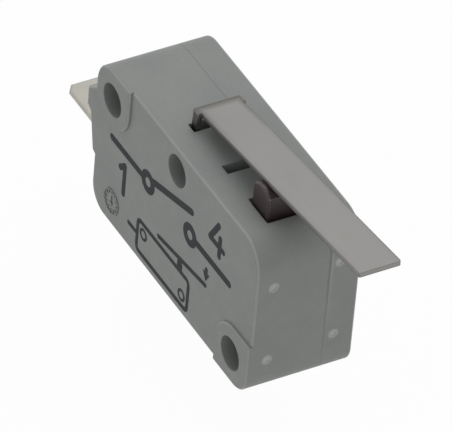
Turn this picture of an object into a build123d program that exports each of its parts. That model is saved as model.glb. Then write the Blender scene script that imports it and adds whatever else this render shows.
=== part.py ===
from build123d import *
import os
from math import cos, radians, sin, sqrt

# Miniature snap-action switch with a hinged flat lever, one normally open contact,
# two quick-connect tabs and two diagonal mounting holes.
# The origin is the centre of the lower mounting hole at mid thickness.
# +X runs towards the lever's free end, +Y from front to back, +Z out of the lever side.

# Case, in millimetres
body_length = 27.8
body_height = 15.9
body_thickness = 10.3
far_top_corner = 2.25
near_top_corner = 2.8
near_bottom_corner = 1.9
far_bottom_corner = 2.3
edge_radius = 0.25
inside_radius = 0.5
front_depth = 7.15
panel_recess = 0.28
back_step = 0.2
panel_wall = 1.2
end_wall = 1.3
floor_wall = 1.3
roof_wall = 1.8
seam_groove = 0.03

# Mounting holes, the raised pads round them in front and the low bosses behind
hole_inset = 2.8
hole_radius = 1.55
pad_radius = 2.75
pad_edge = 0.15
boss_radius = 2.2

# Rib across the far end
rib_top = 3.55
rib_rise = 1.3
rib_height = 1.8
rib_reach = 1.85
rib_foot_reach = 1.2
rib_foot_drop = 0.45
rib_tail = 3.6
rib_tail_reach = 0.45
rib_tail_drop = 0.2

# Small blind hole in the panel and the moulding marks on the near end
recess_from_near = 14.1
recess_from_top = 2.2
recess_radius = 1.5
recess_depth = 1.7
recess_wall = 0.5
mark_radius = 0.3
mark_depth = 0.05
mark_from_front = 1.9
mark_from_back = 2.2
mark_from_corner = 4.0
mark_stagger = 0.35

# Lever
lever_width = 3.9
lever_thickness = 0.45
lever_reach = 27.3
lever_heel = 0.1
lever_corner = 0.15
lever_tilt = 7.2
lever_height = 2.18
ear_outset = 0.3
ear_width = 0.75
ear_neck = 0.36
ear_eye = 0.45
ear_bend = 0.2
pin_radius = 0.25
pin_reach = 0.3
hinge_depth = 0.9
slot_width = 1.1
slot_pitch = 5.85
lever_arm = 11.55

# Plunger
plunger_from_near = 4.7
plunger_width = 2.6
plunger_breadth = 4.8
plunger_dome = 1.7
plunger_edge = 0.12
flange_width = 3.8
flange_breadth = 5.6
flange_height = 0.8
foot_width = 1.5
foot_breadth = 2.4
opening_width = 3.35
opening_depth = 0.7

# Terminals
tab_width = 4.75
tab_thickness = 0.5
com_tab_length = 9.9
no_tab_length = 7.6
tab_edge = 0.15
tab_tip_run = 0.75
tab_tip_side = 0.55
tab_hole_radius = 0.7
tab_hole_from_tip = 3.2
bend_radius = 0.35

# Common terminal inside the case
com_height = 3.65
rail_gap = 1.9
post_above_arm = 0.55
tongue_width = 1.4
tongue_from_wall = 1.04
tongue_to_post = 4.6
eyelet_drop = 0.06
eyelet_radius = 0.28
eyelet_web = 0.28
groove_depth = 0.22
block_lip = 1.0

# Contact arm
arm_thickness = 0.3
arm_width = 3.6
arm_nose_width = 2.8
arm_below_tube = 1.35
arm_overhang = 1.5
fork_length = 6.0
arm_flange = 0.45
flange_from_contact = 1.75
knife_flat = 0.03
contact_from_eyelet = 2.36
contact_length = 1.7
contact_width = 0.8
contact_height = 0.5
contact_crown = 0.12
contact_gap = 0.87
stop_from_plunger = 3.13
stop_width = 0.9

# Normally open terminal inside the case
seat_length = 3.4
seat_lead = 2.3

# Snap spring
wire_radius = 0.1
wire_sides = 5
coil_radius = 0.5
coil_pitch = 0.55
coil_turns = 7
coil_start = 3.2

# Clearances
seat_gap = 0.02
running_gap = 0.05
touch_gap = 0.03
pin_gap = 0.05
slot_play = 0.3

# Cutting shapes reach this far past the faces they cut, and edges this near a plane lie on it
cut_past = 1.0
near_enough = 0.001

# Case faces and hole centres
far_x = hole_inset - body_length
near_x = hole_inset
bottom_z = -hole_inset
top_z = body_height - hole_inset
front_y = -body_thickness / 2
back_y = body_thickness / 2
front_panel_y = front_y + panel_recess
back_panel_y = back_y - back_step
front_inside_y = front_panel_y + panel_wall
back_inside_y = back_panel_y - panel_wall
seam_y = front_y + front_depth
floor_z = bottom_z + floor_wall
roof_z = top_z - roof_wall
far_inside_x = far_x + end_wall
near_inside_x = near_x - end_wall
upper_hole_x = far_x + hole_inset
upper_hole_z = top_z - hole_inset

# Terminal strip, tongue and posts, from the far wall inwards, and the arm's knife edge
strip_low_z = bottom_z + com_height
strip_top_z = strip_low_z + tab_thickness
tongue_x = far_inside_x + tongue_from_wall
post_x = tongue_x + tongue_to_post
post_face_x = post_x + tab_thickness
arm_x = post_face_x - groove_depth + running_gap
arm_z = upper_hole_z - pad_radius - arm_below_tube
arm_low_z = arm_z - arm_thickness / 2
arm_top_z = arm_z + arm_thickness / 2
post_top_z = arm_z + post_above_arm
tongue_ring = eyelet_radius + eyelet_web / 2
arm_ring = eyelet_radius + eyelet_web
eyelet_z = arm_z - eyelet_drop
tongue_top_z = eyelet_z + eyelet_radius + eyelet_web
arm_eyelet_x = arm_x + fork_length + 2 * eyelet_web + eyelet_radius

# Lever, plunger and arm positions
plunger_x = near_x - plunger_from_near
hinge_x = plunger_x - lever_arm
hinge_z = top_z - hinge_depth
spare_slot_x = hinge_x + slot_pitch
slot_breadth = lever_width + 2 * ear_outset + 2 * slot_play
dome_z = hinge_z + (lever_height + lever_arm * sin(radians(lever_tilt)) - plunger_dome) \
    / cos(radians(lever_tilt)) - touch_gap
shoulder_z = dome_z + sqrt(plunger_dome ** 2 - (plunger_width / 2) ** 2)
flange_top_z = roof_z - touch_gap
foot_z = arm_top_z + touch_gap
arm_end_x = plunger_x + arm_overhang
stop_x = plunger_x - stop_from_plunger

# Contacts and the normally open terminal
no_back_y = seam_y - seat_gap
no_front_y = no_back_y - tab_thickness
contact_x = arm_eyelet_x + contact_from_eyelet
moving_tip_z = arm_low_z - contact_height
fixed_tip_z = moving_tip_z - contact_gap
seat_top_z = fixed_tip_z - contact_height
no_left_x = contact_x - seat_lead
no_right_x = no_left_x + tab_width


def upright(y):
    # Sketch plane across the case at this depth, seen from the front
    return Plane.XZ.offset(-y)


def span(x_low, x_high, z_low, z_high):
    # Rectangle on an upright plane between these limits
    with Locations(((x_low + x_high) / 2, (z_low + z_high) / 2)):
        Rectangle(x_high - x_low, z_high - z_low)


def rounded_body():
    # The case's side view, with a different radius at each corner
    corners = [
        (far_x, top_z, far_top_corner),
        (near_x, top_z, near_top_corner),
        (near_x, bottom_z, near_bottom_corner),
        (far_x, bottom_z, far_bottom_corner),
    ]
    with BuildSketch(Plane.XY) as side:
        span(far_x, near_x, bottom_z, top_z)
        for x, z, radius in corners:
            corner = side.vertices().sort_by_distance((x, z, 0))[0]
            fillet(corner, radius)
    return side.sketch


def inside_body():
    # The hollow's side view: walls of their own thickness, less the tubes round the holes
    with BuildSketch(Plane.XY) as side:
        span(far_inside_x, near_inside_x, floor_z, roof_z)
        fillet(side.vertices(), inside_radius)
        with Locations((0, 0), (upper_hole_x, upper_hole_z)):
            Circle(pad_radius, mode=Mode.SUBTRACT)
    return side.sketch


def case_outline():
    # The rounded body with the rib that crosses its far end
    ledge_z = top_z - rib_top
    brow_z = ledge_z - rib_rise
    chin_z = brow_z - rib_height
    foot_z_low = chin_z - rib_foot_drop
    tail_z = foot_z_low - rib_tail
    end_z = tail_z - rib_tail_drop
    with BuildSketch(Plane.XY) as side:
        add(rounded_body())
        with BuildLine():
            Polyline(
                (far_x + end_wall, ledge_z),
                (far_x, ledge_z),
                (far_x - rib_reach, brow_z),
                (far_x - rib_reach, chin_z),
                (far_x - rib_foot_reach, foot_z_low),
                (far_x - rib_tail_reach, tail_z),
                (far_x, end_z),
                (far_x + end_wall, end_z),
                close=True,
            )
        make_face()
    return side.sketch


def pad_region():
    # The areas that stand proud of the front panel: round each hole, out to the case's edge
    with BuildSketch(Plane.XY) as upper:
        span(far_x - cut_past, upper_hole_x + pad_radius, upper_hole_z - pad_radius, top_z + cut_past)
        fillet(upper.vertices().sort_by_distance((0, 0, 0))[0], pad_radius)
    with BuildSketch(Plane.XY) as lower:
        span(-pad_radius, near_x + cut_past, bottom_z - cut_past, pad_radius)
        inner = lower.vertices().sort_by_distance((upper_hole_x, upper_hole_z, 0))[0]
        fillet(inner, pad_radius)
    with BuildSketch(Plane.XY) as pads:
        add(upper.sketch)
        add(lower.sketch)
        add(rounded_body(), mode=Mode.INTERSECT)
    return pads.sketch


def case_half(half, face_y, outer):
    # Solid half from the joint to its outer face, rounded there and with a fine groove at the joint.
    # The outer face is the first or the last one along Y.
    with BuildSketch(upright(seam_y)) as profile:
        add(case_outline())
    extrude(profile.sketch, amount=seam_y - face_y)
    fillet(half.faces().sort_by(Axis.Y)[outer].edges(), edge_radius)
    chamfer(half.faces().sort_by(Axis.Y)[-1 - outer].edges(), seam_groove)


def raise_pads(half):
    # Pads on the front panel, whose sides carry on the case's own past its rounded edge
    with BuildSketch(upright(front_y)) as pads:
        add(pad_region())
    extrude(pads.sketch, amount=-panel_recess - edge_radius)
    chamfer(half.faces().group_by(Axis.Y)[0].edges(), pad_edge)


def raise_bosses():
    # Low round bosses on the back, one round each hole
    with BuildSketch(upright(back_panel_y)) as bosses:
        with Locations((0, 0), (upper_hole_x, upper_hole_z)):
            Circle(boss_radius)
    extrude(bosses.sketch, amount=-back_step)


def cut_top(slots_x):
    # Slots for the lever's ears with their bearing holes, and the plunger's stepped opening
    with BuildSketch(Plane.XY.offset(top_z)) as slots:
        with Locations([(x, 0) for x in slots_x]):
            Rectangle(slot_width, slot_breadth)
    extrude(slots.sketch, amount=-roof_wall - cut_past, mode=Mode.SUBTRACT)
    with BuildSketch(Plane.XZ) as bearings:
        with Locations([(x, hinge_z) for x in slots_x]):
            Circle(pin_radius + pin_gap)
    bearing_end = slot_breadth / 2 + pin_reach + pin_gap
    extrude(bearings.sketch, amount=bearing_end, both=True, mode=Mode.SUBTRACT)
    with BuildSketch(Plane.XY.offset(top_z)) as mouth:
        with Locations((plunger_x, 0)):
            Rectangle(opening_width, slot_breadth)
    extrude(mouth.sketch, amount=-opening_depth, mode=Mode.SUBTRACT)
    with BuildSketch(Plane.XY.offset(top_z)) as guide:
        with Locations((plunger_x, 0)):
            Rectangle(plunger_width + 2 * running_gap, plunger_breadth + 2 * running_gap)
    extrude(guide.sketch, amount=-roof_wall - cut_past, mode=Mode.SUBTRACT)


def cut_holes():
    # The two mounting holes
    with BuildSketch(Plane.XZ) as holes:
        with Locations((0, 0), (upper_hole_x, upper_hole_z)):
            Circle(hole_radius)
    extrude(holes.sketch, amount=body_thickness, both=True, mode=Mode.SUBTRACT)


def cut_com_passage():
    # The common tab's way out through the far end
    with BuildSketch(Plane.YZ.offset(far_x - rib_reach)) as passage:
        with Locations((0, strip_low_z + tab_thickness / 2)):
            Rectangle(tab_width + 2 * seat_gap, tab_thickness + 2 * seat_gap)
    extrude(passage.sketch, amount=rib_reach + end_wall + cut_past, mode=Mode.SUBTRACT)


def cut_marks(mark_y, shift):
    # Two small round moulding marks on the near end, this much lower than evenly placed ones
    high_z = top_z - mark_from_corner - shift
    low_z = bottom_z + mark_from_corner - shift
    with BuildSketch(Plane.YZ.offset(near_x)) as marks:
        with Locations((mark_y, high_z), (mark_y, low_z)):
            Circle(mark_radius)
    extrude(marks.sketch, amount=-mark_depth, mode=Mode.SUBTRACT)


def tab_blade(terminal, root, length):
    # Flat tab with coined edges and a hole. Its root lies along the plane's X, its tip is up the plane's Y.
    half_width = tab_width / 2
    with BuildSketch(root) as flat:
        with BuildLine() as rim:
            Polyline(
                (-half_width, 0),
                (-half_width, length - tab_tip_run),
                (tab_tip_side - half_width, length),
                (half_width - tab_tip_side, length),
                (half_width, length - tab_tip_run),
                (half_width, 0),
                close=True,
            )
        make_face(rim.edges())
        with Locations((0, length - tab_hole_from_tip)):
            Circle(tab_hole_radius, mode=Mode.SUBTRACT)
    extrude(flat.sketch, amount=tab_thickness)
    coined = terminal.edges().filter_by(GeomType.LINE)
    coined = coined.filter_by(Axis(root.origin, root.z_dir), reverse=True)
    coined = coined.filter_by(lambda edge: (edge.center() - root.origin).dot(root.y_dir) > near_enough)
    chamfer(coined, tab_edge)


# Housing: the front half of the case
with BuildPart() as housing:
    case_half(housing, front_panel_y, 0)
    raise_pads(housing)
    with BuildSketch(upright(front_inside_y)):
        add(inside_body())
    extrude(amount=front_inside_y - seam_y, mode=Mode.SUBTRACT)
    # Blocks that carry the two terminals, and the stop over the contact arm
    with BuildSketch(upright(front_inside_y)):
        span(far_inside_x - seat_gap, post_face_x + block_lip,
             floor_z - seat_gap, strip_low_z - seat_gap)
    extrude(amount=front_inside_y - seam_y)
    with BuildSketch(upright(front_inside_y)):
        span(no_left_x, no_right_x, floor_z - seat_gap, seat_top_z - tab_thickness - seat_gap)
    extrude(amount=front_inside_y - no_front_y + seat_gap)
    with BuildSketch(upright(front_inside_y)):
        span(stop_x - stop_width / 2, stop_x + stop_width / 2,
             arm_top_z + touch_gap, roof_z + seat_gap)
    extrude(amount=front_inside_y - seam_y)
    # Passages for the two tabs
    cut_com_passage()
    with BuildSketch(Plane.XY.offset(bottom_z)):
        with Locations(((no_left_x + no_right_x) / 2, (no_front_y + seam_y) / 2)):
            Rectangle(tab_width + 2 * seat_gap, seam_y - no_front_y + 2 * seat_gap)
    extrude(amount=floor_wall + seat_gap, mode=Mode.SUBTRACT)
    # The blind hole, with a boss behind it that closes it off
    recess_centre = (near_x - recess_from_near, top_z - recess_from_top)
    with BuildSketch(upright(front_panel_y)):
        with Locations(recess_centre):
            Circle(recess_radius + recess_wall)
    extrude(amount=-recess_depth - recess_wall)
    with BuildSketch(upright(front_panel_y)):
        with Locations(recess_centre):
            Circle(recess_radius)
    extrude(amount=-recess_depth, mode=Mode.SUBTRACT)
    cut_top([hinge_x, spare_slot_x])
    cut_holes()
    cut_marks(front_y + mark_from_front, mark_stagger)

# Cover: the back half of the case
with BuildPart() as cover:
    case_half(cover, back_panel_y, -1)
    raise_bosses()
    with BuildSketch(upright(back_inside_y)):
        add(inside_body())
    extrude(amount=back_inside_y - seam_y, mode=Mode.SUBTRACT)
    cut_com_passage()
    cut_top([hinge_x, spare_slot_x])
    cut_holes()
    cut_marks(back_y - mark_from_back, -mark_stagger)

# Lever: a flat strip with two ears bent down at its heel and a pin on each ear
tilt = radians(lever_tilt)
lever_along = Vector(cos(tilt), 0, sin(tilt))
lever_up = Vector(-sin(tilt), 0, cos(tilt))
lever_plane = Plane(origin=(hinge_x, 0, hinge_z), x_dir=lever_along, z_dir=lever_up)
ear_y = lever_width / 2 + ear_outset
with BuildPart() as lever:
    with BuildSketch(lever_plane.offset(lever_height)) as strip:
        with Locations(((lever_reach - lever_heel) / 2, 0)):
            Rectangle(lever_reach + lever_heel, lever_width)
        fillet(strip.vertices().group_by(Axis.X)[-1], lever_corner)
    extrude(amount=lever_thickness)
    for side in (-1, 1):
        ear_plane = Plane(origin=(hinge_x, side * ear_y, hinge_z), x_dir=lever_along, z_dir=(0, -1, 0))
        with BuildSketch(ear_plane):
            with BuildLine():
                Polyline(
                    (-ear_neck, 0),
                    (-ear_neck, lever_height / 2),
                    (-lever_heel, lever_height),
                    (-lever_heel, lever_height + lever_thickness),
                    (ear_width, lever_height + lever_thickness),
                    (ear_width, lever_height),
                    (ear_neck, lever_height / 2),
                    (ear_neck, 0),
                    close=True,
                )
            make_face()
            Circle(ear_eye)
        extrude(amount=side * lever_thickness)
        with BuildSketch(ear_plane):
            Circle(pin_radius)
        extrude(amount=-side * (slot_play + pin_reach))
    bends = lever.edges().filter_by(lambda edge: abs(abs(edge.center().Y) - ear_y) < near_enough)
    bends = bends.filter_by(lambda edge: edge.center().Z > hinge_z + lever_height)
    fillet(bends.sort_by(Axis.Z)[-2:], ear_bend)

# Plunger: a domed stem, a flange that stops under the roof, and a foot on the contact arm
with BuildPart() as plunger:
    with BuildSketch(upright(-plunger_breadth / 2)):
        with BuildLine():
            Polyline(
                (plunger_x - plunger_width / 2, shoulder_z),
                (plunger_x - plunger_width / 2, flange_top_z),
                (plunger_x + plunger_width / 2, flange_top_z),
                (plunger_x + plunger_width / 2, shoulder_z),
            )
            ThreePointArc(
                (plunger_x + plunger_width / 2, shoulder_z),
                (plunger_x, dome_z + plunger_dome),
                (plunger_x - plunger_width / 2, shoulder_z),
            )
        make_face()
    extrude(amount=-plunger_breadth)
    crown = plunger.faces().filter_by(Axis.Y).edges().filter_by(lambda edge: edge.center().Z > top_z)
    chamfer(crown, plunger_edge)
    with BuildSketch(Plane.XY.offset(flange_top_z)):
        with Locations((plunger_x, 0)):
            Rectangle(flange_width, flange_breadth)
    extrude(amount=-flange_height)
    with BuildSketch(upright(-foot_breadth / 2)):
        with BuildLine():
            foot_left = plunger_x - foot_width / 2
            foot_right = plunger_x + foot_width / 2
            knee_z = foot_z + foot_width / 2
            Line((foot_left, knee_z), (foot_left, flange_top_z))
            Line((foot_left, flange_top_z), (foot_right, flange_top_z))
            Line((foot_right, flange_top_z), (foot_right, knee_z))
            ThreePointArc((foot_right, knee_z), (plunger_x, foot_z), (foot_left, knee_z))
        make_face()
    extrude(amount=-foot_breadth)

# Common terminal: tab, floor strip with a lanced tongue, and two posts that hold the arm
with BuildPart() as com_terminal:
    com_root = Plane(origin=(far_x, 0, strip_low_z), x_dir=(0, 1, 0), z_dir=(0, 0, 1))
    tab_blade(com_terminal, com_root, com_tab_length)
    with BuildSketch(upright(-tab_width / 2)) as bent:
        span(far_x, post_face_x, strip_low_z, strip_top_z)
        span(post_x, post_face_x, strip_low_z, post_top_z)
        fillet(bent.vertices().sort_by_distance((post_face_x, strip_low_z, 0))[0],
               bend_radius + tab_thickness)
        fillet(bent.vertices().sort_by_distance((post_x, strip_top_z, 0))[0], bend_radius)
    extrude(amount=-tab_width)
    with BuildSketch(Plane.XY.offset(strip_low_z)):
        with Locations(((tongue_x + post_face_x) / 2, 0)):
            Rectangle(post_face_x - tongue_x, rail_gap)
    extrude(amount=post_top_z - strip_low_z, mode=Mode.SUBTRACT)
    with BuildSketch(upright(-tongue_width / 2)) as bent:
        span(tongue_x - tab_thickness - bend_radius, tongue_x + tab_thickness, strip_low_z, strip_top_z)
        span(tongue_x, tongue_x + tab_thickness, strip_low_z, tongue_top_z)
        fillet(bent.vertices().sort_by_distance((tongue_x + tab_thickness, strip_low_z, 0))[0],
               bend_radius + tab_thickness)
        fillet(bent.vertices().sort_by_distance((tongue_x, strip_top_z, 0))[0], bend_radius)
    extrude(amount=-tongue_width)
    with BuildSketch(Plane.YZ.offset(tongue_x)):
        with Locations((0, eyelet_z)):
            Circle(eyelet_radius)
    extrude(amount=tab_thickness, mode=Mode.SUBTRACT)
    with BuildSketch(upright(-tab_width / 2)):
        with BuildLine():
            Polyline(
                (post_face_x - groove_depth, arm_z),
                (post_face_x + groove_depth, arm_z + 2 * groove_depth),
                (post_face_x + groove_depth, arm_z - 2 * groove_depth),
                close=True,
            )
        make_face()
    extrude(amount=-tab_width, mode=Mode.SUBTRACT)

# Normally open terminal: tab along the case, and a seat folded over under the arm
with BuildPart() as no_terminal:
    no_middle_x = (no_left_x + no_right_x) / 2
    no_root = Plane(origin=(no_middle_x, no_back_y, bottom_z), x_dir=(-1, 0, 0), z_dir=(0, -1, 0))
    tab_blade(no_terminal, no_root, no_tab_length)
    with BuildSketch(upright(no_back_y)):
        span(no_left_x, no_right_x, bottom_z, seat_top_z)
    extrude(amount=tab_thickness)
    with BuildSketch(Plane.XY.offset(seat_top_z)):
        with Locations((no_middle_x, no_back_y - (seat_length + tab_thickness) / 2)):
            Rectangle(tab_width, seat_length + tab_thickness)
    extrude(amount=-tab_thickness)
    fold = no_terminal.edges().filter_by(Axis.X).sort_by_distance((contact_x, no_back_y, seat_top_z))[0]
    fillet(fold, bend_radius + tab_thickness / 2)

# Contact arm: a fork that straddles the spring, with knife edges at its far end
taper_x = contact_x + contact_length / 2
taper_run = (arm_width - arm_nose_width) / 2
with BuildPart() as moving_arm:
    with BuildSketch(Plane.XY.offset(arm_low_z)) as plan:
        with BuildLine():
            Polyline(
                (arm_x, -arm_width / 2),
                (taper_x, -arm_width / 2),
                (taper_x + taper_run, -arm_nose_width / 2),
                (arm_end_x, -arm_nose_width / 2),
                (arm_end_x, arm_nose_width / 2),
                (taper_x + taper_run, arm_nose_width / 2),
                (taper_x, arm_width / 2),
                (arm_x, arm_width / 2),
                close=True,
            )
        make_face()
        fillet(plan.vertices().group_by(Axis.X)[-1], arm_thickness)
        with Locations((arm_x + fork_length / 2, 0)):
            Rectangle(fork_length, rail_gap, mode=Mode.SUBTRACT)
        with Locations((arm_eyelet_x, 0)):
            Circle(eyelet_radius, mode=Mode.SUBTRACT)
    extrude(amount=arm_thickness)
    knife = moving_arm.faces().filter_by(Axis.X).sort_by(Axis.X)[:2].edges().filter_by(Axis.Y)
    chamfer(knife, (arm_thickness - knife_flat) / 2)
    # Stiffening flanges folded down along the nose
    flange_low_x = contact_x + flange_from_contact
    flange_high_x = plunger_x - foot_width / 2
    flange_y = (arm_nose_width - arm_thickness) / 2
    with BuildSketch(Plane.XY.offset(arm_low_z)):
        with Locations([((flange_low_x + flange_high_x) / 2, y) for y in (-flange_y, flange_y)]):
            Rectangle(flange_high_x - flange_low_x, arm_thickness)
    extrude(amount=-arm_flange)

# Contacts: two welded bars that cross at right angles
with BuildPart() as moving_contact:
    with BuildSketch(Plane.YZ.offset(contact_x - contact_length / 2)):
        with BuildLine():
            Polyline(
                (-contact_width / 2, moving_tip_z + contact_height),
                (contact_width / 2, moving_tip_z + contact_height),
                (contact_crown, moving_tip_z),
                (-contact_crown, moving_tip_z),
                close=True,
            )
        make_face()
    extrude(amount=contact_length)

with BuildPart() as fixed_contact:
    with BuildSketch(upright(-contact_length / 2)):
        with BuildLine():
            Polyline(
                (contact_x - contact_width / 2, seat_top_z),
                (contact_x + contact_width / 2, seat_top_z),
                (contact_x + contact_crown, fixed_tip_z),
                (contact_x - contact_crown, fixed_tip_z),
                close=True,
            )
        make_face()
    extrude(amount=-contact_length)

# Snap spring: a tension coil with a ring at each end, through the tongue's eyelet and the arm's
ring_in = Vector(tongue_x + tab_thickness / 2, 0, eyelet_z + tongue_ring)
ring_out = Vector(arm_x + fork_length + eyelet_web, 0, arm_z)
spring_axis = (ring_out - ring_in).normalized()
coil_length = coil_pitch * coil_turns
coil_centre = ring_in + spring_axis * coil_start
with BuildPart() as snap_spring:
    with BuildLine():
        turns = Helix(coil_pitch, coil_length, coil_radius, center=coil_centre, direction=spring_axis)
        leg_in = ring_in + spring_axis * tongue_ring
        leg_out = ring_out - spring_axis * arm_ring
        Spline(leg_in, turns @ 0, tangents=(spring_axis, turns % 0))
        Spline(turns @ 1, leg_out, tangents=(turns % 1, spring_axis))
    with BuildSketch(Plane(origin=leg_in, z_dir=spring_axis)):
        RegularPolygon(wire_radius, wire_sides)
    sweep()
    for ring, ring_radius in ((ring_in, tongue_ring), (ring_out, arm_ring)):
        with BuildSketch(Plane(origin=ring + Vector(ring_radius, 0, 0))):
            RegularPolygon(wire_radius, wire_sides)
        revolve(axis=Axis(ring, (0, 1, 0)))

parts = {
    "housing": housing,
    "cover": cover,
    "lever": lever,
    "plunger": plunger,
    "com_terminal": com_terminal,
    "no_terminal": no_terminal,
    "moving_arm": moving_arm,
    "moving_contact": moving_contact,
    "fixed_contact": fixed_contact,
    "snap_spring": snap_spring,
}
os.makedirs("parts", exist_ok=True)
for name, piece in parts.items():
    piece.part.label = name
    export_step(piece.part, f"parts/{name}.step")
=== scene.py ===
import math
import bmesh
import bpy
from mathutils import Matrix, Vector


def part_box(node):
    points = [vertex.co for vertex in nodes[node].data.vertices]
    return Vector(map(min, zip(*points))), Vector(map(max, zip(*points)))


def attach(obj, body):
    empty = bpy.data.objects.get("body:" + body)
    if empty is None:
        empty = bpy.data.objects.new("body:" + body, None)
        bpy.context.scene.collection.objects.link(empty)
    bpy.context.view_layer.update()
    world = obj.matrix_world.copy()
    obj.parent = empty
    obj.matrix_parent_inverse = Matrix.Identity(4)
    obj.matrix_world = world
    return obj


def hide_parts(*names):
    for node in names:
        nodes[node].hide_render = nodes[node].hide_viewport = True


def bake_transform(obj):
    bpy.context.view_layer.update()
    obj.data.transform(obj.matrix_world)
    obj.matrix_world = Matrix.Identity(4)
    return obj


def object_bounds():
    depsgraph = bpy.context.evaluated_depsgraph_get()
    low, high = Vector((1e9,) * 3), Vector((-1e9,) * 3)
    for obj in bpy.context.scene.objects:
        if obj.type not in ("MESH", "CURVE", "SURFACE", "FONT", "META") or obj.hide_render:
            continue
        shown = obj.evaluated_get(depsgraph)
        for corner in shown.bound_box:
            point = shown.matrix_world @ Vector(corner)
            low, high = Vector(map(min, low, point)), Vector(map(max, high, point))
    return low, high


# Miniature snap-action switch: finishes, printed marks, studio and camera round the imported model
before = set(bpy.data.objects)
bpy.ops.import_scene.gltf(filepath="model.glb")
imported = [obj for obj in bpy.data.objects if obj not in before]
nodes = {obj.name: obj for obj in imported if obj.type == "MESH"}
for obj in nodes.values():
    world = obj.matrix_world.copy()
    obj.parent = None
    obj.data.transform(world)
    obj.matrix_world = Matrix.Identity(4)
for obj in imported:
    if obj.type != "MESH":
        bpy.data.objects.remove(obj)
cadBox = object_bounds()
mm = 0.001
noiseSpan = (0.3, 0.7)  # nearly all of a noise's values lie between these
traceSamples = 8  # rays for rounded edges and for the shade in corners
print("frame loaded:", len(nodes), "nodes")


def linearColour(hexCode):
    # sRGB hex to the linear colour that shaders want
    channels = [int(hexCode[i:i + 2], 16) / 255 for i in (1, 3, 5)]
    return [c / 12.92 if c < 0.04045 else ((c + 0.055) / 1.055) ** 2.4 for c in channels] + [1.0]


def put(tree, kind, inputs=(), **settings):
    # Adds a node. Its inputs go by socket name or number, or as a tuple in the sockets' own order:
    # plain values, hex colours, or what feeds them, an output or a node for its first output.
    # Map Range takes value, from low, from high, to low, to high. In a Mix, 0 is the factor,
    # 4 and 5 are its vectors, 6 and 7 its colours.
    node = tree.nodes.new("ShaderNode" + kind)
    for name, setting in settings.items():
        setattr(node, name, setting)
    sockets = inputs if isinstance(inputs, dict) else dict(enumerate(inputs))
    for socket, source in sockets.items():
        if isinstance(source, bpy.types.Node):
            source = next(output for output in source.outputs if output.enabled)
        if isinstance(source, bpy.types.NodeSocket):
            tree.links.new(source, node.inputs[socket])
        else:
            plain = linearColour(source) if isinstance(source, str) else source
            node.inputs[socket].default_value = plain
    return node


def startMaterial(name):
    # An empty material, its node tree, and the object's own coordinates in metres
    material = bpy.data.materials.new(name)
    material.use_nodes = True
    tree = material.node_tree
    tree.nodes.clear()
    return material, tree, put(tree, "TexCoord").outputs["Object"]


def perMetre(sizeMm):
    # A pattern's scale from the size of its blobs or lines
    return 1 / (sizeMm * mm)


def tint(tree, under, over, pattern, show, span=noiseSpan):
    # Lays one colour over another where a pattern is strong
    amount = put(tree, "MapRange", (pattern, *span, 0.0, show))
    return put(tree, "Mix", {0: amount, 6: under, 7: over}, data_type="RGBA")


def facing(tree, axis):
    # How far the surface faces along X, Y or Z, either way
    normal = put(tree, "TexCoord").outputs["Normal"]
    part = put(tree, "SeparateXYZ", (normal,)).outputs[axis]
    return put(tree, "Math", (part,), operation="ABSOLUTE")


def edgeMask(tree, radiusMm, atEdge=0.8, onFlat=0.97):
    # 1 along sharp edges, 0 on flats, from how alike the rounded and the plain normals are
    rounded = put(tree, "Bevel", {"Radius": radiusMm * mm}, samples=traceSamples)
    plain = put(tree, "NewGeometry").outputs["Normal"]
    likeness = put(tree, "VectorMath", (rounded, plain), operation="DOT_PRODUCT")
    return put(tree, "MapRange", (likeness, atEdge, onFlat, 1.0, 0.0))


def paintedCornerShade(tree, reachMm, darkest, deep=0.1, clear=0.9):
    # Painted shade: 1 in the open, down to darkest deep in corners and slots, from an occlusion
    # trace
    shade = put(tree, "AmbientOcclusion", {"Distance": reachMm * mm}, samples=traceSamples)
    return put(tree, "MapRange", (shade.outputs["AO"], deep, clear, darkest, 1.0))


def dress(material, *names):
    for name in names:
        mesh = nodes[name].data
        mesh.materials.clear()
        mesh.materials.append(material)


# Case: glass-filled polyester, moulded in a spark-eroded tool. Matt, a fine even grain, slightly
# mottled where the melt flowed, smoother along the edges, with dirt in the joint line. Painted
# highlights lie along the edges and beside the joint line, painted shade in corners and slots.
casePlastic = {
    "panelSinkMm": 0.28,  # the front panel lies this far behind the pads
    "colour": "#919491",
    "flowColour": "#8b8e8c",
    "flowMm": 3.5,
    "flowStretch": 1.6,  # the mottling is this much longer along the case
    "speckColour": "#747776",
    "speckMm": 0.32,
    "speckShow": 0.12,
    "grainMm": 0.16,  # the real grain is about 0.05, drawn coarser to show
    "grainDepthMm": 0.005,
    # the painted highlight along the case's rounded edges and beside the joint line
    "edgeLightingColour": "#b4b7b3",
    "edgeLightingShow": 0.42,
    "edgeMm": 0.16,
    "edgeStart": (0.1, 0.4),  # how far a face looks along Y where its painted highlight comes in
    "edgeStop": (0.88, 0.985),  # and where it goes again, on the flat panels
    "edgeSmoother": 0.1,
    "cornerMm": 0.5,
    "cornerShade": 0.75,
    "sheenMm": 1.2,
    "roughness": (0.47, 0.57),
    "gloss": 0.3,
    "seamFromFrontMm": 7.15,
    "seamShade": 0.2,
    "seamShadeMm": (0.07, 0.16),  # dark within the first of these, gone at the second
    # strength of the painted highlight on the cover's lip beside the joint
    "seamLipHighlight": 0.3,
    "seamLipRiseMm": (0.1, 0.18),
    "seamLipFallMm": (0.22, 0.4),
    "seamFadeZMm": (1.8, 8.4),  # faint at the bottom, full at the top
    "seamFacing": (0.6, 0.9),  # how far a face looks along X where the line comes in
    "markColour": "#b4b5b3",
    "markMm": 0.5,  # radius of the pale spot that each moulding mark leaves
    "markFade": (0.62, 1.15),  # in radii, full inside the first and gone outside the second
    "markFromFrontMm": 1.9,
    "markFromBackMm": 2.2,
    "markFromCornerMm": 4.0,
    "markStaggerMm": 0.35,
}


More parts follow.
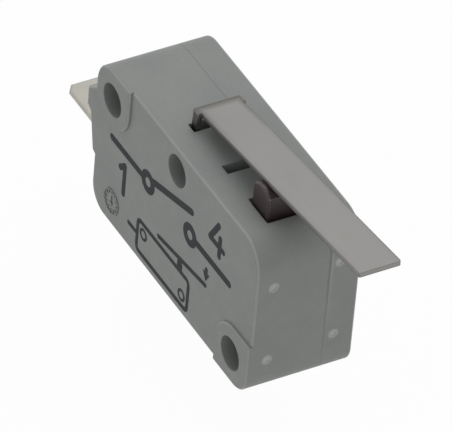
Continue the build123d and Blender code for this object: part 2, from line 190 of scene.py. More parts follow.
def mouldingMarks(tree, place, look):
    # Four pale spots on the near end, strongest at their middle
    low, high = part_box("housing")
    frontY = low.y + look["markFromFrontMm"] * mm
    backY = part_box("cover")[1].y - look["markFromBackMm"] * mm
    inset, stagger = look["markFromCornerMm"] * mm, look["markStaggerMm"] * mm
    nearest = None
    for y, shift in ((frontY, stagger), (backY, -stagger)):
        for z in (high.z - inset - shift, low.z + inset - shift):
            gap = put(tree, "VectorMath", (place, (high.x, y, z)), operation="DISTANCE")
            if nearest is not None:
                gap = put(tree, "Math", (nearest, gap), operation="MINIMUM")
            nearest = gap
    core, rim = [look["markMm"] * share * mm for share in look["markFade"]]
    return put(tree, "MapRange", (nearest, core, rim, 1.0, 0.0))


def seamLine(tree, place, look):
    # On the near end: the dirt in the joint line, and a painted highlight on the lip of the cover
    # beside it
    parts = put(tree, "SeparateXYZ", (place,)).outputs
    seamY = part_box("housing")[0].y + look["seamFromFrontMm"] * mm
    past = put(tree, "Math", (parts["Y"], seamY), operation="SUBTRACT")
    away = put(tree, "Math", (past,), operation="ABSOLUTE")
    low, high = [z * mm for z in look["seamFadeZMm"]]
    rising = put(tree, "MapRange", (parts["Z"], low, high, 0.0, 1.0))
    nearEnd = put(tree, "MapRange", (facing(tree, "X"), *look["seamFacing"], 0.0, 1.0))
    strength = put(tree, "Math", (rising, nearEnd), operation="MULTIPLY")
    low, high = [gap * mm for gap in look["seamShadeMm"]]
    dirt = put(tree, "MapRange", (away, low, high, look["seamShade"], 0.0))
    low, high = [gap * mm for gap in look["seamLipRiseMm"]]
    rise = put(tree, "MapRange", (past, low, high, 0.0, look["seamLipHighlight"]))
    low, high = [gap * mm for gap in look["seamLipFallMm"]]
    fall = put(tree, "MapRange", (past, low, high, 1.0, 0.0))
    lipHighlight = put(tree, "Math", (rise, fall), operation="MULTIPLY")
    return [put(tree, "Math", (line, strength), operation="MULTIPLY") for line in (dirt, lipHighlight)]


def mouldedPolyester(look):
    material, tree, place = startMaterial("polyester_spark_moulded")
    along = put(tree, "Mapping", {"Vector": place, "Scale": (1 / look["flowStretch"], 1, 1)})
    flow = put(tree, "TexNoise", {"Vector": along, "Scale": perMetre(look["flowMm"]), "Detail": 4})
    colour = tint(tree, look["colour"], look["flowColour"], flow, 1.0)
    speck = put(tree, "TexNoise", {"Vector": place, "Scale": perMetre(look["speckMm"]),
                                   "Detail": 2})
    colour = tint(tree, colour, look["speckColour"], speck, look["speckShow"])

    # Painted highlight on the rounded edges round the front panel, where the surface turns away
    # from Y
    sideways = facing(tree, "Y")
    start = put(tree, "MapRange", (sideways, *look["edgeStart"], 0.0, 1.0))
    stop = put(tree, "MapRange", (sideways, *look["edgeStop"], 1.0, 0.0))
    edges = put(tree, "Math", (start, stop), operation="MULTIPLY")
    edgeHighlight = put(tree, "Math", (edges, look["edgeLightingShow"]), operation="MULTIPLY")
    colour = put(tree, "Mix", {0: edgeHighlight, 6: colour, 7: look["edgeLightingColour"]}, data_type="RGBA")

    marks = mouldingMarks(tree, place, look)
    colour = put(tree, "Mix", {0: marks, 6: colour, 7: look["markColour"]}, data_type="RGBA")
    seamDirt, lipHighlight = seamLine(tree, place, look)
    # Painted highlight on the cover's lip beside the joint line
    colour = put(tree, "Mix", {0: lipHighlight, 6: colour, 7: look["edgeLightingColour"]}, data_type="RGBA")
    # Painted shade in corners and slots, lifted on the moulding marks, times the dirt in the joint
    # line
    cornerShading = paintedCornerShade(tree, look["cornerMm"], look["cornerShade"])
    shade = put(tree, "Math", (cornerShading, marks), operation="MAXIMUM")
    seamClean = put(tree, "Math", (1.0, seamDirt), operation="SUBTRACT")
    shade = put(tree, "Math", (shade, seamClean), operation="MULTIPLY")
    colour = put(tree, "VectorMath", {0: colour, "Scale": shade}, operation="SCALE")

    cloud = put(tree, "TexNoise", {"Vector": place, "Scale": perMetre(look["sheenMm"]),
                                   "Detail": 3})
    sheen = put(tree, "MapRange", (cloud, *noiseSpan, *look["roughness"]))
    smoother = put(tree, "Math", (edges, look["edgeSmoother"]), operation="MULTIPLY")
    roughness = put(tree, "Math", (sheen, smoother), operation="SUBTRACT")
    grain = put(tree, "TexNoise", {"Vector": place, "Scale": perMetre(look["grainMm"]),
                                   "Detail": 2, "Roughness": 0.6})
    rounded = put(tree, "Bevel", {"Radius": look["edgeMm"] * mm}, samples=traceSamples)
    plain = put(tree, "NewGeometry").outputs["Normal"]
    base = put(tree, "Mix", {0: marks, 4: rounded, 5: plain}, data_type="VECTOR")
    relief = put(tree, "Bump", {"Height": grain, "Distance": look["grainDepthMm"] * mm,
                                "Normal": base})
    surface = put(tree, "BsdfPrincipled", {"Base Color": colour, "Roughness": roughness,
                                           "Normal": relief, "Specular IOR Level": look["gloss"]})
    put(tree, "OutputMaterial", {"Surface": surface})
    return material


casePlasticFinish = mouldedPolyester(casePlastic)
dress(casePlasticFinish, "housing", "cover")
print("case finished")

# Lever: stainless steel strip, cold rolled, blanked, bent and tumbled. Satin and even, with very
# fine rolling lines along it and faint handling smudges. Painted shade darkens its border, side
# faces and edges, and its corners.
leverSteel = {
    "colour": "#918f8d",
    "smudgeColour": "#8b8987",
    "smudgeMm": 4.5,
    "smudgeStretch": 2.0,
    "smudgeShow": 0.8,
    "lineColour": "#7f7d7a",
    "lineMm": 0.1,  # the real lines are about 0.02 apart, drawn coarser to show
    "lineStretch": 90,
    "lineShow": 0.07,
    "lineDepthMm": 0.0004,
    "lineSheen": 0.02,
    # the painted shade on the lever's border, side faces and edges
    "edgeLightingColour": "#65635f",
    "edgeMm": 0.35,
    "edgeLightingShow": 0.4,
    "sideShadeShow": 0.5,
    "sideShadeFacing": (0.1, 0.6),  # how far a face looks along Y where its painted shade comes in
    "topFacing": (0.3, 0.7),  # and along Z where the border comes in
    "bladeHalfMm": 1.95,  # from the blade's middle line to its long edges
    "sideMm": 0.5,
    "sideShow": 0.9,
    "sideFarShow": 0.12,
    "sideFadeMm": 6.0,
    "heelMm": 0.85,
    "heelInsetMm": 0.12,
    "heelShow": 1.0,
    "softMm": 0.2,
    # painted shade in the lever's corners and under it: how far it reaches and its darkest
    "shadeReachMm": 0.8,
    "shadeDarkest": 0.55,
    "roughness": (0.38, 0.47),
}


def leverBorderShade(tree, place, look):
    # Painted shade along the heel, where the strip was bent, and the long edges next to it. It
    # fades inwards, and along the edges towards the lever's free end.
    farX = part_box("lever")[0].x
    parts = put(tree, "SeparateXYZ", (place,)).outputs
    half = look["bladeHalfMm"] * mm
    out = put(tree, "Math", (parts["Y"],), operation="ABSOLUTE")
    side = put(tree, "MapRange", (out, half - look["sideMm"] * mm, half, 0.0, 1.0))
    along = put(tree, "MapRange", (parts["X"], farX, farX + look["sideFadeMm"] * mm,
                                   look["sideShow"], look["sideFarShow"]))
    start = farX + look["heelInsetMm"] * mm
    heel = put(tree, "MapRange", (parts["X"], start, start + look["heelMm"] * mm,
                                  look["heelShow"], 0.0))
    upwards = put(tree, "MapRange", (facing(tree, "Z"), *look["topFacing"], 0.0, 1.0))
    sides = put(tree, "Math", (side, along), operation="MULTIPLY")
    border = put(tree, "Math", (sides, heel), operation="MAXIMUM")
    return put(tree, "Math", (border, upwards), operation="MULTIPLY")


def rolledSteel(look):
    material, tree, place = startMaterial("stainless_cold_rolled")
    thin = 1 / look["lineStretch"]
    rolled = put(tree, "Mapping", {"Vector": place, "Scale": (thin, 1, thin)})
    lines = put(tree, "TexNoise", {"Vector": rolled, "Scale": perMetre(look["lineMm"]),
                                   "Detail": 2, "Roughness": 0.6})
    along = put(tree, "Mapping", {"Vector": place, "Scale": (1 / look["smudgeStretch"], 1, 1)})
    smudge = put(tree, "TexNoise", {"Vector": along, "Scale": perMetre(look["smudgeMm"]),
                                    "Detail": 3})
    colour = tint(tree, look["colour"], look["smudgeColour"], smudge, look["smudgeShow"])
    colour = tint(tree, colour, look["lineColour"], lines, look["lineShow"])

    # Painted shade on the side faces, along the edges and on the border
    sideShading = put(tree, "MapRange", (facing(tree, "Y"), *look["sideShadeFacing"],
                                     0.0, look["sideShadeShow"]))
    rims = put(tree, "Math", (edgeMask(tree, look["edgeMm"]), look["edgeLightingShow"]),
               operation="MULTIPLY")
    edges = put(tree, "Math", (rims, sideShading), operation="MAXIMUM")
    edges = put(tree, "Math", (edges, leverBorderShade(tree, place, look)), operation="MAXIMUM")
    colour = put(tree, "Mix", {0: edges, 6: colour, 7: look["edgeLightingColour"]}, data_type="RGBA")
    # Painted shade in corners and under the lever
    paintedShade = paintedCornerShade(tree, look["shadeReachMm"], look["shadeDarkest"])
    colour = put(tree, "VectorMath", {0: colour, "Scale": paintedShade}, operation="SCALE")

    satin = put(tree, "MapRange", (smudge, *noiseSpan, *look["roughness"]))
    streak = put(tree, "MapRange", (lines, *noiseSpan, -look["lineSheen"], look["lineSheen"]))
    roughness = put(tree, "Math", (satin, streak), operation="ADD")
    rounded = put(tree, "Bevel", {"Radius": look["softMm"] * mm}, samples=traceSamples)
    relief = put(tree, "Bump", {"Height": lines, "Distance": look["lineDepthMm"] * mm,
                                "Normal": rounded})
    surface = put(tree, "BsdfPrincipled", {"Base Color": colour, "Metallic": 1.0,
                                           "Roughness": roughness, "Normal": relief})
    put(tree, "OutputMaterial", {"Surface": surface})
    return material


dress(rolledSteel(leverSteel), "lever")
print("lever finished")

# Plunger: phenolic resin, compression moulded. Dark red-brown, a low gloss, fine filler specks,
# and a painted highlight along its edges.
plungerPhenolic = {
    "colour": "#382b2d",
    "speckColour": "#4d3d3c",
    "speckMm": 0.12,
    "speckSpan": (0.52, 0.72),  # only the top of the noise, so that the specks stand apart
    "speckShow": 0.5,
    "speckDepthMm": 0.003,
    "cloudColour": "#2e2426",
    "cloudMm": 0.9,
    "cloudShow": 0.35,
    "edgeHighlightColour": "#c4aeb0",
    "edgeMm": 0.36,
    "edgeSpan": (0.78, 0.93),  # how alike the normals are at an edge and on a flat
    "softMm": 0.12,
    "roughness": (0.33, 0.45),
}


def mouldedPhenolic(look):
    material, tree, place = startMaterial("phenolic_moulded")
    specks = put(tree, "TexNoise", {"Vector": place, "Scale": perMetre(look["speckMm"]),
                                    "Detail": 2})
    cloud = put(tree, "TexNoise", {"Vector": place, "Scale": perMetre(look["cloudMm"]),
                                   "Detail": 2})
    colour = tint(tree, look["colour"], look["speckColour"], specks, look["speckShow"],
                  look["speckSpan"])
    colour = tint(tree, colour, look["cloudColour"], cloud, look["cloudShow"])
    edges = edgeMask(tree, look["edgeMm"], *look["edgeSpan"])
    # Painted highlight along the edges
    colour = put(tree, "Mix", {0: edges, 6: colour, 7: look["edgeHighlightColour"]}, data_type="RGBA")
    roughness = put(tree, "MapRange", (cloud, *noiseSpan, *look["roughness"]))
    rounded = put(tree, "Bevel", {"Radius": look["softMm"] * mm}, samples=traceSamples)
    relief = put(tree, "Bump", {"Height": specks, "Distance": look["speckDepthMm"] * mm,
                                "Normal": rounded})
    surface = put(tree, "BsdfPrincipled", {"Base Color": colour, "Roughness": roughness,
                                           "Normal": relief})
    put(tree, "OutputMaterial", {"Surface": surface})
    return material


dress(mouldedPhenolic(plungerPhenolic), "plunger")
print("plunger finished")

# Terminals: half-hard brass strip, tin plated and blanked. Pale and satin, cloudy where the tin
# has bloomed, with drawing lines along the strip and painted shade along the edges.
terminalTin = {
    "colour": "#adaba1",
    "bloomColour": "#a6a49c",
    "bloomMm": 1.2,
    "lineColour": "#97958c",
    "lineMm": 0.14,  # drawn coarser than the real 0.03 to show
    "lineStretch": 60,
    "lineShow": 0.1,
    "lineDepthMm": 0.0008,
    "edgeShadeColour": "#8f8e86",
    "edgeShadeShow": 0.8,
    "edgeMm": 0.45,
    "softMm": 0.15,
    "roughness": (0.34, 0.43),
}


def tinnedBrass(look):
    material, tree, place = startMaterial("brass_tin_plated")
    bloom = put(tree, "TexNoise", {"Vector": place, "Scale": perMetre(look["bloomMm"]),
                                   "Detail": 4})
    drawn = put(tree, "Mapping", {"Vector": place, "Scale": (1 / look["lineStretch"], 1, 1)})
    lines = put(tree, "TexNoise", {"Vector": drawn, "Scale": perMetre(look["lineMm"]),
                                   "Detail": 2})
    colour = tint(tree, look["colour"], look["bloomColour"], bloom, 1.0)
    colour = tint(tree, colour, look["lineColour"], lines, look["lineShow"])
    # Painted shade along the edges
    edges = put(tree, "Math", (edgeMask(tree, look["edgeMm"]), look["edgeShadeShow"]),
                operation="MULTIPLY")
    colour = put(tree, "Mix", {0: edges, 6: colour, 7: look["edgeShadeColour"]}, data_type="RGBA")
    roughness = put(tree, "MapRange", (bloom, *noiseSpan, *look["roughness"]))
    rounded = put(tree, "Bevel", {"Radius": look["softMm"] * mm}, samples=traceSamples)
    relief = put(tree, "Bump", {"Height": lines, "Distance": look["lineDepthMm"] * mm,
                                "Normal": rounded})
    surface = put(tree, "BsdfPrincipled", {"Base Color": colour, "Metallic": 1.0,
                                           "Roughness": roughness, "Normal": relief})
    put(tree, "OutputMaterial", {"Surface": surface})
    return material


dress(tinnedBrass(terminalTin), "com_terminal", "no_terminal")
print("terminals finished")

# Contact arm: beryllium copper strip, rolled and age hardened. Warm, bright, with rolling lines
# and a faint tarnish.
armCopper = {
    "colour": "#c08a58",
    "tarnishColour": "#9a6a48",
    "tarnishMm": 1.4,
    "tarnishShow": 0.7,
    "lineColour": "#7d5438",
    "lineMm": 0.1,  # drawn coarser than the real 0.02 to show
    "lineStretch": 80,
    "lineShow": 0.2,
    "lineDepthMm": 0.001,
    "roughness": (0.24, 0.4),
}


def rolledCopper(look):
    material, tree, place = startMaterial("beryllium_copper_rolled")
    rolled = put(tree, "Mapping", {"Vector": place, "Scale": (1 / look["lineStretch"], 1, 1)})
    lines = put(tree, "TexNoise", {"Vector": rolled, "Scale": perMetre(look["lineMm"]),
                                   "Detail": 2})
    tarnish = put(tree, "TexNoise", {"Vector": place, "Scale": perMetre(look["tarnishMm"]),
                                     "Detail": 4})
    colour = tint(tree, look["colour"], look["tarnishColour"], tarnish, look["tarnishShow"])
    colour = tint(tree, colour, look["lineColour"], lines, look["lineShow"])
    roughness = put(tree, "MapRange", (tarnish, *noiseSpan, *look["roughness"]))
    relief = put(tree, "Bump", {"Height": lines, "Distance": look["lineDepthMm"] * mm})
    surface = put(tree, "BsdfPrincipled", {"Base Color": colour, "Metallic": 1.0,
                                           "Roughness": roughness, "Normal": relief})
    put(tree, "OutputMaterial", {"Surface": surface})
    return material


dress(rolledCopper(armCopper), "moving_arm")
print("contact arm finished")

# Contacts: gold-clad bars, rolled and cut. Bright yellow, slightly scuffed on the crown.
contactGold = {
    "colour": "#dcb15c",
    "scuffColour": "#b58a48",
    "scuffMm": 0.18,
    "scuffStretch": 3,
    "scuffSpan": (0.45, 0.7),  # the upper part of the noise, so that scuffs stay patchy
    "scuffShow": 0.8,
    "scuffDepthMm": 0.001,
    "roughness": (0.22, 0.37),
}


def goldCladBar(look):
    material, tree, place = startMaterial("gold_clad_bar")
    across = put(tree, "Mapping", {"Vector": place, "Scale": (1, 1 / look["scuffStretch"], 1)})
    scuff = put(tree, "TexNoise", {"Vector": across, "Scale": perMetre(look["scuffMm"]),
                                   "Detail": 4})
    colour = tint(tree, look["colour"], look["scuffColour"], scuff, look["scuffShow"],
                  look["scuffSpan"])
    roughness = put(tree, "MapRange", (scuff, *noiseSpan, *look["roughness"]))
    relief = put(tree, "Bump", {"Height": scuff, "Distance": look["scuffDepthMm"] * mm})
    surface = put(tree, "BsdfPrincipled", {"Base Color": colour, "Metallic": 1.0,
                                           "Roughness": roughness, "Normal": relief})
    put(tree, "OutputMaterial", {"Surface": surface})
    return material


dress(goldCladBar(contactGold), "moving_contact", "fixed_contact")
print("contacts finished")

# Snap spring: music wire, drawn and coiled. Grey steel with fine die lines and oil darkening.
springWire = {
    "colour": "#9b9a98",
    "oilColour": "#6f6d6a",
    "oilMm": 0.5,
    "oilShow": 0.8,
    "lineMm": 0.04,
    "lineDepthMm": 0.0008,
    "roughness": (0.3, 0.42),
    "joinMm": 0.0005,
    "bendXMm": (-22.4, -11.5),  # from the ring in the tongue to the ring in the arm
    "bendZMm": 6.2,
}


def drawnWire(look):
    material, tree, place = startMaterial("music_wire_drawn")
    oil = put(tree, "TexNoise", {"Vector": place, "Scale": perMetre(look["oilMm"]), "Detail": 3})
    lines = put(tree, "TexNoise", {"Vector": place, "Scale": perMetre(look["lineMm"]), "Detail": 2})
    colour = tint(tree, look["colour"], look["oilColour"], oil, look["oilShow"])
    roughness = put(tree, "MapRange", (oil, *noiseSpan, *look["roughness"]))
    relief = put(tree, "Bump", {"Height": lines, "Distance": look["lineDepthMm"] * mm})
    surface = put(tree, "BsdfPrincipled", {"Base Color": colour, "Metallic": 1.0,
                                           "Roughness": roughness, "Normal": relief})
    put(tree, "OutputMaterial", {"Surface": surface})
    return material


def bendingSpring(look, finish):
    # A copy of the spring, its triangles joined up and shaded smooth, shown in place of the hidden
    # original
    shape = bmesh.new()
    shape.from_mesh(nodes["snap_spring"].data)
    bmesh.ops.remove_doubles(shape, verts=shape.verts, dist=look["joinMm"] * mm)
    for face in shape.faces:
        face.smooth = True
    mesh = bpy.data.meshes.new("snap_spring_wire")
    shape.to_mesh(mesh)
    shape.free()
    mesh.materials.append(finish)
    spring = bpy.data.objects.new("snap_spring_wire", mesh)
    bpy.context.scene.collection.objects.link(spring)
    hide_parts("snap_spring")
    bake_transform(spring)


wireFinish = drawnWire(springWire)
dress(wireFinish, "snap_spring")
bendingSpring(springWire, wireFinish)
print("snap spring finished")

# Printed marks on the sunk front panel: a plain contact diagram with its two terminal numbers, and
# a sketch of the switch with an arrow that presses its lever. Pad-printed ink, dark blue-grey,
# satin, thin and slightly uneven.
printedInk = {
    "colour": "#1c1f25",
    "thinColour": "#2d3036",
    "blotMm": 0.25,
    "blotDepthMm": 0.002,
    "thinSpan": (0.5, 0.75),  # only the top of the noise shows as thin ink
    "roughness": (0.42, 0.55),
    "gloss": 0.12,
    "filmMm": 0.012,
    "stepMm": 0.0015,  # each stroke lies this much over the one before, so that none share a face
}


def padInk(look):
    material, tree, place = startMaterial("pad_printed_ink")
    blots = put(tree, "TexNoise", {"Vector": place, "Scale": perMetre(look["blotMm"]), "Detail": 4})
    colour = tint(tree, look["colour"], look["thinColour"], blots, 1.0, look["thinSpan"])
    roughness = put(tree, "MapRange", (blots, *noiseSpan, *look["roughness"]))
    relief = put(tree, "Bump", {"Height": blots, "Distance": look["blotDepthMm"] * mm})
    surface = put(tree, "BsdfPrincipled", {"Base Color": colour, "Roughness": roughness,
                                           "Normal": relief, "Specular IOR Level": look["gloss"]})
    put(tree, "OutputMaterial", {"Surface": surface})
    return material


def onPanel(x, z):
    # Stands artwork that is drawn flat upright on the XZ plane, with its middle at x, z
    return Matrix.Translation((x, 0, z)) @ Matrix.Rotation(math.radians(90), 4, "X")


def addBar(shape, start, end, width):
    # A flat bar with round ends from start to end
    run = Vector((end[0] - start[0], 0, end[1] - start[1]))
    made = bmesh.ops.create_circle(shape, cap_ends=True, segments=20, radius=width / 2,
                                   matrix=onPanel(0, 0))
    ahead = [v for v in made["verts"] if v.co.dot(run) > 0]
    bmesh.ops.translate(shape, verts=ahead, vec=run)
    bmesh.ops.translate(shape, verts=made["verts"], vec=(start[0], 0, start[1]))


def hollowOut(shape, face, width):
    # Leaves only a line of this width round a flat face
    bmesh.ops.inset_region(shape, faces=[face], thickness=width, use_boundary=True,
                           use_even_offset=True)
    bmesh.ops.delete(shape, geom=[face], context="FACES_ONLY")


def addRing(shape, centre, radius, width):
    made = bmesh.ops.create_circle(shape, cap_ends=True, segments=40, radius=radius,
                                   matrix=onPanel(*centre))
    hollowOut(shape, made["verts"][0].link_faces[0], width)


def addFrame(shape, look):
    # A box with round corners, drawn as a line
    size = Matrix.Diagonal((look["widthMm"], look["heightMm"], 1, 1))
    made = bmesh.ops.create_grid(shape, x_segments=1, y_segments=1, size=0.5,
                                 matrix=onPanel(*look["middleMm"]) @ size)
    rounded = bmesh.ops.bevel(shape, geom=made["verts"], offset=look["cornerMm"], segments=5,
                              profile=0.5, affect="VERTICES", material=-1)
    face = max(rounded["verts"][0].link_faces, key=lambda f: f.calc_area())
    hollowOut(shape, face, look["lineMm"])


def addArrowHead(shape, tip, size):
    # A triangle that points down at tip
    pointed = onPanel(tip[0], tip[1] + size) @ Matrix.Rotation(math.radians(180), 4, "Z")
    bmesh.ops.create_circle(shape, cap_ends=True, segments=3, radius=size, matrix=pointed)


def printFilm(shapes, name, film, finish):
    # Gives flat strokes the film's thickness and lays them on the panel as one piece
    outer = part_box("housing")[0].y / mm + casePlastic["panelSinkMm"]
    mesh = bpy.data.meshes.new(name)
    whole = bmesh.new()
    for order, shape in enumerate(shapes):
        made = bmesh.ops.extrude_face_region(shape, geom=shape.faces[:])
        raised = [g for g in made["geom"] if isinstance(g, bmesh.types.BMVert)]
        lift = (0, -film["filmMm"] - order * film["stepMm"], 0)
        bmesh.ops.translate(shape, verts=raised, vec=lift)
        bmesh.ops.translate(shape, verts=shape.verts, vec=(0, outer, 0))
        bmesh.ops.scale(shape, verts=shape.verts, vec=(mm, mm, mm))
        bmesh.ops.recalc_face_normals(shape, faces=shape.faces)
        shape.to_mesh(mesh)
        shape.free()
        whole.from_mesh(mesh)
    whole.to_mesh(mesh)
    whole.free()
    mesh.materials.append(finish)
    piece = bpy.data.objects.new(name, mesh)
    bpy.context.scene.collection.objects.link(piece)
    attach(piece, "case")


contactLines = {
    "lineMm": 0.7,
    "leftXMm": -22.2,
    "rightXMm": -1.6,
    "lineZMm": 6.2,
    "pivotXMm": -15.8,
    "seatXMm": -8.4,
    "ringMm": 1.15,
    "bladeRoot": (0.8, 0.6),  # where the blade leaves the pivot's ring, in the ring's radius
    "bladeRiseMm": 2.5,
}


def contactDiagram(look, film, ink):
    # Line from the left to a pivot ring, a blade that stands open, a seat ring and a line out
    shapes = [bmesh.new() for stroke in range(5)]
    z, ring, wide = look["lineZMm"], look["ringMm"], look["lineMm"]
    pivot, seat = look["pivotXMm"], look["seatXMm"]
    rootX, rootZ = look["bladeRoot"]
    addBar(shapes[0], (look["leftXMm"], z), (pivot - ring, z), wide)
    addRing(shapes[1], (pivot, z), ring, wide)
    addBar(shapes[2], (pivot + ring * rootX, z + ring * rootZ), (seat, z + look["bladeRiseMm"]),
           wide)
    addRing(shapes[3], (seat, z), ring, wide)
    addBar(shapes[4], (seat + ring, z), (look["rightXMm"], z), wide)
    printFilm(shapes, "contact_diagram", film, ink)


# Where each number's foot stands on the panel, and its strokes in a box 1 high
terminalNumbers = {
    "heightMm": 3.0,
    "lineMm": 0.6,
    "1": ((-20.6, 1.9), (((0.3, 0.0), (0.3, 1.0)), ((0.3, 1.0), (0.04, 0.78)))),
    "4": ((-5.2, 7.7), (((0.42, 1.0), (0.0, 0.3)), ((0.0, 0.3), (0.76, 0.3)),
                        ((0.55, 0.62), (0.55, 0.0)))),
}


def terminalNumber(text, look, film, ink):
    # A plain number from its strokes
    foot, strokes = look[text]
    high = look["heightMm"]
    shapes = []
    for stroke in strokes:
        start, end = [(foot[0] + x * high, foot[1] + z * high) for x, z in stroke]
        shapes.append(bmesh.new())
        addBar(shapes[-1], start, end, look["lineMm"])
    printFilm(shapes, "terminal_number_" + text, film, ink)


switchSketch = {
    "middleMm": (-12.4, -0.25),
    "widthMm": 9.4,
    "heightMm": 3.7,
    "cornerMm": 0.7,
    "lineMm": 0.45,
    "holeMm": 0.62,
    "holeInsetMm": 1.25,
    "holeLine": 0.6,  # the holes' lines are this much of the others' width
    "stubMm": 1.3,
    "leverMm": ((-13.4, 2.15), (-5.3, 3.15)),
    "plungerXMm": -9.6,
    "plungerWide": 2,  # in line widths
    "arrowMm": 1.25,
    "arrowHeadMm": 0.62,
    "arrowStem": 1.2,  # the stem starts this far above the tip, in head sizes
}


def switchDiagram(look, film, ink):
    # The case as a box with its two holes and a tab, the plunger, the lever, and an arrow over it
    shapes = [bmesh.new() for stroke in range(7)]
    wide, head = look["lineMm"], look["arrowHeadMm"]
    halfWide, halfHigh = look["widthMm"] / 2, look["heightMm"] / 2
    middle, inset = look["middleMm"], look["holeInsetMm"]
    addFrame(shapes[0], look)
    for side in (-1, 1):
        hole = (middle[0] + side * (halfWide - inset), middle[1] - side * (halfHigh - inset))
        addRing(shapes[1], hole, look["holeMm"], wide * look["holeLine"])
    farX = middle[0] - halfWide
    addBar(shapes[2], (farX - look["stubMm"], middle[1]), (farX, middle[1]), wide)
    addBar(shapes[3], *look["leverMm"], wide)
    foot = (look["plungerXMm"], middle[1] + halfHigh)
    addBar(shapes[4], foot, (foot[0], foot[1] + wide), wide * look["plungerWide"])
    tip = (look["leverMm"][1][0], look["leverMm"][1][1] + wide)
    addArrowHead(shapes[5], tip, head)
    stem = (tip[0], tip[1] + head * look["arrowStem"])
    addBar(shapes[6], stem, (tip[0], tip[1] + look["arrowMm"]), wide)
    printFilm(shapes, "switch_diagram", film, ink)


# Date dial: moulded with the case, with no figures
dateDial = {
    "middleMm": (-21.5, -0.35),
    "radiusMm": 1.25,
    "lineMm": 0.12,
    "ticks": 12,
    "tickMm": (0.86, 1.0),
    "pointerMm": 0.5,
    "pointerTail": 0.3,  # the pointer's other end and its head, in its own length
    "pointerHead": 0.55,
    "filmMm": 0.07,
    "stepMm": 0.004,
}


def mouldDial(look, plastic):
    # A raised ring with a tick for each month and a pointer
    shapes = [bmesh.new() for stroke in range(4)]
    middle, wide = look["middleMm"], look["lineMm"]
    addRing(shapes[0], middle, look["radiusMm"], wide)
    for tick in range(look["ticks"]):
        turn = math.tau * tick / look["ticks"]
        inner, outer = [(middle[0] + r * math.sin(turn), middle[1] + r * math.cos(turn))
                        for r in look["tickMm"]]
        addBar(shapes[1], inner, outer, wide)
    reach = look["pointerMm"]
    tail = (middle[0], middle[1] - reach * look["pointerTail"])
    addBar(shapes[2], (middle[0], middle[1] + reach), tail, wide)
    addArrowHead(shapes[3], (middle[0], middle[1] - reach), reach * look["pointerHead"])
    printFilm(shapes, "date_dial", look, plastic)


ink = padInk(printedInk)
contactDiagram(contactLines, printedInk, ink)
terminalNumber("1", terminalNumbers, printedInk, ink)
terminalNumber("4", terminalNumbers, printedInk, ink)
switchDiagram(switchSketch, printedInk, ink)
mouldDial(dateDial, casePlasticFinish)
print("printed marks finished")

# Studio: a pale floor and an even white surround
studio = {
    "floorSizeMm": 3000,
    "floorColour": "#efefee",
    "floorLift": 0.965,  # how plain white the camera sees the floor, the rest keeps the shadow
    "worldStrength": 0.595,
    "worldLean": 0.25,  # the surround is this much brighter behind and darker in front
    "aimMm": (-10.9, 0, 4.7),
    "keyWatts": 0.292,
    "keySizeMm": 260,
    "keyPlaceMm": (-120, 60, 330),
    "fillWatts": 0.006,
    "fillColour": (0.9, 0.95, 1.0),
    "fillSizeMm": 90,
    "fillPlaceMm": (-80, -100, 0),
}


def seenDirectly(tree):
    # 1 for camera, glossy and transmission rays, so that metal shows the same white
    path = put(tree, "LightPath").outputs
    shiny = put(tree, "Math", (path["Is Glossy Ray"], path["Is Transmission Ray"]),
                operation="MAXIMUM")
    return put(tree, "Math", (path["Is Camera Ray"], shiny), operation="MAXIMUM")


def makeFloor(look):
    shape = bmesh.new()
    bmesh.ops.create_grid(shape, x_segments=1, y_segments=1, size=look["floorSizeMm"] * mm / 2)
    bmesh.ops.translate(shape, verts=shape.verts, vec=(0, 0, cadBox[0].z))
    mesh = bpy.data.meshes.new("floor")
    shape.to_mesh(mesh)
    shape.free()
    floor = bpy.data.objects.new("floor", mesh)
    bpy.context.scene.collection.objects.link(floor)
    material = bpy.data.materials.new("paper_floor_plain")
    material.use_nodes = True
    tree = material.node_tree
    tree.nodes.clear()
    matt = put(tree, "BsdfDiffuse", {"Color": look["floorColour"]})
    white = put(tree, "Emission", {"Color": "#ffffff", "Strength": 1.0})
    lift = put(tree, "Math", (seenDirectly(tree), look["floorLift"]), operation="MULTIPLY")
    mixed = put(tree, "MixShader", (lift, matt, white))
    put(tree, "OutputMaterial", {"Surface": mixed})
    mesh.materials.append(material)


def makeWorld(look):
    world = bpy.data.worlds.new("studio_white")
    bpy.context.scene.world = world
    world.use_nodes = True
    tree = world.node_tree
    tree.nodes.clear()
    direction = put(tree, "TexCoord").outputs["Generated"]
    backwards = put(tree, "SeparateXYZ", (direction,)).outputs["Y"]
    plain, lean = look["worldStrength"], look["worldLean"]
    unseen = put(tree, "MapRange", (backwards, -1.0, 1.0, plain * (1 - lean), plain * (1 + lean)))
    strength = put(tree, "MapRange", (seenDirectly(tree), 0.0, 1.0, unseen, 1.0))
    light = put(tree, "Background", {"Color": "#ffffff", "Strength": strength})
    put(tree, "OutputWorld", {"Surface": light})


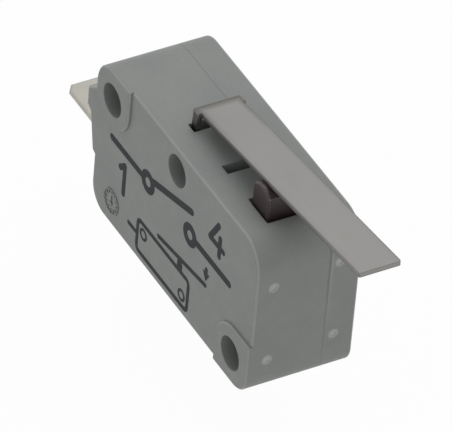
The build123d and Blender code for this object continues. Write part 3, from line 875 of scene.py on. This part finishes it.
def makeLamp(name, watts, sizeMm, placeMm, aimMm, colour=(1, 1, 1)):
    lamp = bpy.data.lights.new(name, "AREA")
    lamp.energy = watts
    lamp.color = colour
    lamp.size = sizeMm * mm
    holder = bpy.data.objects.new(name, lamp)
    place = Vector(placeMm) * mm
    turn = (Vector(aimMm) * mm - place).to_track_quat("-Z", "Y")
    holder.matrix_world = Matrix.Translation(place) @ turn.to_matrix().to_4x4()
    bpy.context.scene.collection.objects.link(holder)


makeFloor(studio)
makeWorld(studio)
makeLamp("key", studio["keyWatts"], studio["keySizeMm"], studio["keyPlaceMm"], studio["aimMm"])
makeLamp("fill", studio["fillWatts"], studio["fillSizeMm"], studio["fillPlaceMm"], studio["aimMm"],
         studio["fillColour"])
print("studio finished")

# Camera, fitted to the photograph's edges and holes
cameraView = {
    "azimuth": 58.16,
    "elevation": 40.35,
    "roll": 5.24,
    "distanceMm": 693.5,
    "targetMm": (-10.86, 0, 4.67),
    "focalPixels": 8306,
    "photoWidth": 452,
    "sensorMm": 36,
    "clipMm": 10,
}


def makeCamera(look):
    azimuth, elevation = math.radians(look["azimuth"]), math.radians(look["elevation"])
    outwards = math.cos(elevation)
    back = Vector((math.sin(azimuth) * outwards, -math.cos(azimuth) * outwards,
                   math.sin(elevation)))
    level = back.to_track_quat("Z", "Y").to_matrix().to_4x4()
    tilt = Matrix.Rotation(math.radians(look["roll"]), 4, "Z")
    place = (Vector(look["targetMm"]) + back * look["distanceMm"]) * mm
    lens = bpy.data.cameras.new("camera")
    lens.sensor_fit = "HORIZONTAL"
    lens.sensor_width = look["sensorMm"]
    lens.lens = look["focalPixels"] / look["photoWidth"] * look["sensorMm"]
    lens.clip_start = look["clipMm"] * mm
    holder = bpy.data.objects.new("camera", lens)
    holder.matrix_world = Matrix.Translation(place) @ level @ tilt
    bpy.context.scene.collection.objects.link(holder)
    bpy.context.scene.camera = holder


makeCamera(cameraView)
bpy.context.scene.view_settings.view_transform = "Standard"
print("camera placed")
